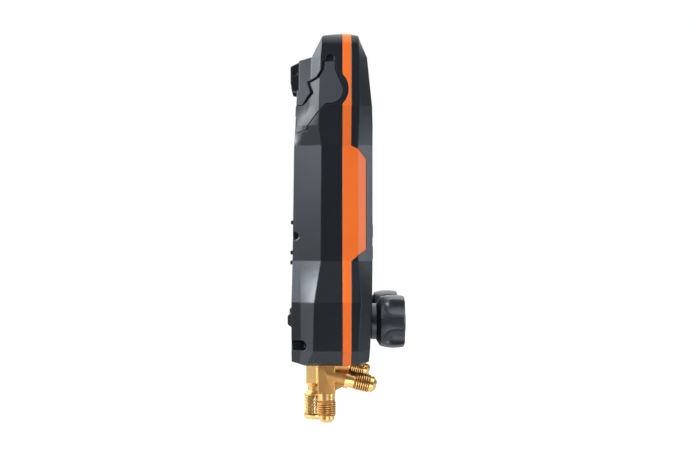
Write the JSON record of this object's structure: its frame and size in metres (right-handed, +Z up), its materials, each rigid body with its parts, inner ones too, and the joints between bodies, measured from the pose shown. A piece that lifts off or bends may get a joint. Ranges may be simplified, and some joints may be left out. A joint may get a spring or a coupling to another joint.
{
  "type": "refrigerant manifold gauge",
  "caption": "Hand-held digital refrigerant manifold: faceted housing, display and keys, star hand valves and a brass block with flare ports.",
  "frame": {"origin": "centre of the hanging hook's round eye, with the hook folded down on the back", "axes": "+Z up along the housing, +Y to the back of the instrument, +X to the side of the high-pressure valve"},
  "size_m": [0.121, 0.0681, 0.2272],
  "materials": {
    "housing_plastic": "fine moulded texture, charcoal",
    "band_plastic": "satin orange",
    "cover_rubber": "soft grey",
    "knob_plastic": "satin dark grey",
    "key_rubber": "satin",
    "window": "clear, dark edge",
    "display": "grey-green reflective display",
    "board": "green solder resist",
    "cast_brass": "fine sand-cast and machined",
    "turned_brass": "bright turned",
    "steel": "zinc plated",
    "cell_wrap": "satin wrap",
    "lens_glass": "clear",
    "seal_rubber": "matte black",
    "seat_polymer": "white PTFE"
  },
  "bodies": {
    "housing": {"battery_1": "cell_wrap", "battery_2": "cell_wrap", "battery_3": "cell_wrap", "battery_4": "cell_wrap", "battery_contacts": "steel", "block_screws": "steel", "circuit_board": "board", "cover_strap_left": "cover_rubber", "cover_strap_right": "cover_rubber", "display_gasket": "seal_rubber", "display_module": "display", "display_window": "window", "frame_band": "band_plastic", "front_shell": "housing_plastic", "hook_pin": "steel", "housing_screws": "steel", "keypad_mat": "seal_rubber", "packing_nut_high": "turned_brass", "packing_nut_low": "turned_brass", "pressure_sensor_high": "steel", "pressure_sensor_low": "steel", "probe_socket_left": "steel", "probe_socket_right": "steel", "rear_feet": "seal_rubber", "rear_shell": "housing_plastic", "sight_glass_lens": "lens_glass", "sight_glass_ring": "turned_brass", "sight_glass_seal": "seal_rubber", "valve_block": "cast_brass"},
    "battery_door": {"battery_door": "housing_plastic"},
    "hook": {"hanger_hook": "housing_plastic"},
    "cover_left": {"socket_cover_left": "cover_rubber"},
    "cover_right": {"socket_cover_right": "cover_rubber"},
    "cap_thread": {"service_cap_seal": "seal_rubber"},
    "cap": {"service_cap": "turned_brass"},
    "key_1": {"key_1": "key_rubber"},
    "key_2": {"key_2": "key_rubber"},
    "key_3": {"key_3": "key_rubber"},
    "key_4": {"key_4": "key_rubber"},
    "key_5": {"key_5": "key_rubber"},
    "key_6": {"key_6": "key_rubber"},
    "low_seat": {"seat_washer_low": "seat_polymer"},
    "low_valve": {"valve_stem_low": "steel", "valve_knob_low": "knob_plastic", "knob_cap_low": "knob_plastic"},
    "high_seat": {"seat_washer_high": "seat_polymer"},
    "high_valve": {"valve_stem_high": "steel", "valve_knob_high": "knob_plastic", "knob_cap_high": "knob_plastic"}
  },
  "joints": [
    {"name": "hook_fold", "type": "hinge", "parent": "housing", "child": "hook", "pos_m": [0, 0.003, 0.035], "axis": [1, 0, 0], "range_deg": [0, 180]},
    {"name": "battery_door_tilt", "type": "hinge", "parent": "housing", "child": "battery_door", "pos_m": [0, 0.0041, -0.08215], "axis": [-1, 0, 0], "range_deg": [0, 75]},
    {"name": "cover_left_swing", "type": "hinge", "parent": "housing", "child": "cover_left", "pos_m": [-0.0484, -0.0009, 0.006], "axis": [0, 0, -1], "range_deg": [0, 90]},
    {"name": "cover_right_swing", "type": "hinge", "parent": "housing", "child": "cover_right", "pos_m": [0.0484, -0.0009, 0.006], "axis": [0, 0, 1], "range_deg": [0, 90]},
    {"name": "cap_travel", "type": "slide", "parent": "housing", "child": "cap_thread", "axis": [0, 0, -1], "range_m": [0, 0.0084]},
    {"name": "cap_turn", "type": "hinge", "parent": "cap_thread", "child": "cap", "pos_m": [0, -0.0095, -0.165], "axis": [0, 0, -1], "range_deg": [0, 2340]},
    {"name": "key_1_press", "type": "slide", "parent": "housing", "child": "key_1", "axis": [0, 1, 0], "range_m": [0, 0.0008], "stiffness_N_per_m": 900},
    {"name": "key_2_press", "type": "slide", "parent": "housing", "child": "key_2", "axis": [0, 1, 0], "range_m": [0, 0.0008], "stiffness_N_per_m": 900},
    {"name": "key_3_press", "type": "slide", "parent": "housing", "child": "key_3", "axis": [0, 1, 0], "range_m": [0, 0.0008], "stiffness_N_per_m": 900},
    {"name": "key_4_press", "type": "slide", "parent": "housing", "child": "key_4", "axis": [0, 1, 0], "range_m": [0, 0.0008], "stiffness_N_per_m": 900},
    {"name": "key_5_press", "type": "slide", "parent": "housing", "child": "key_5", "axis": [0, 1, 0], "range_m": [0, 0.0008], "stiffness_N_per_m": 900},
    {"name": "key_6_press", "type": "slide", "parent": "housing", "child": "key_6", "axis": [0, 1, 0], "range_m": [0, 0.0008], "stiffness_N_per_m": 900},
    {"name": "low_valve_travel", "type": "slide", "parent": "housing", "child": "low_seat", "axis": [0, -1, 0], "range_m": [0, 0.002]},
    {"name": "low_valve_turn", "type": "hinge", "parent": "low_seat", "child": "low_valve", "pos_m": [-0.034, -0.0293, -0.1119], "axis": [0, -1, 0], "range_deg": [0, 720]},
    {"name": "high_valve_travel", "type": "slide", "parent": "housing", "child": "high_seat", "axis": [0, -1, 0], "range_m": [0, 0.002]},
    {"name": "high_valve_turn", "type": "hinge", "parent": "high_seat", "child": "high_valve", "pos_m": [0.034, -0.0293, -0.1119], "axis": [0, -1, 0], "range_deg": [0, 720]}
  ],
  "couplings": [
    {"joint": "cap_travel", "follows": "cap_turn", "m_per_rad": 0.00020213},
    {"joint": "low_valve_turn", "follows": "low_valve_travel", "rad_per_m": 6283.2},
    {"joint": "high_valve_turn", "follows": "high_valve_travel", "rad_per_m": 6283.2}
  ]
}
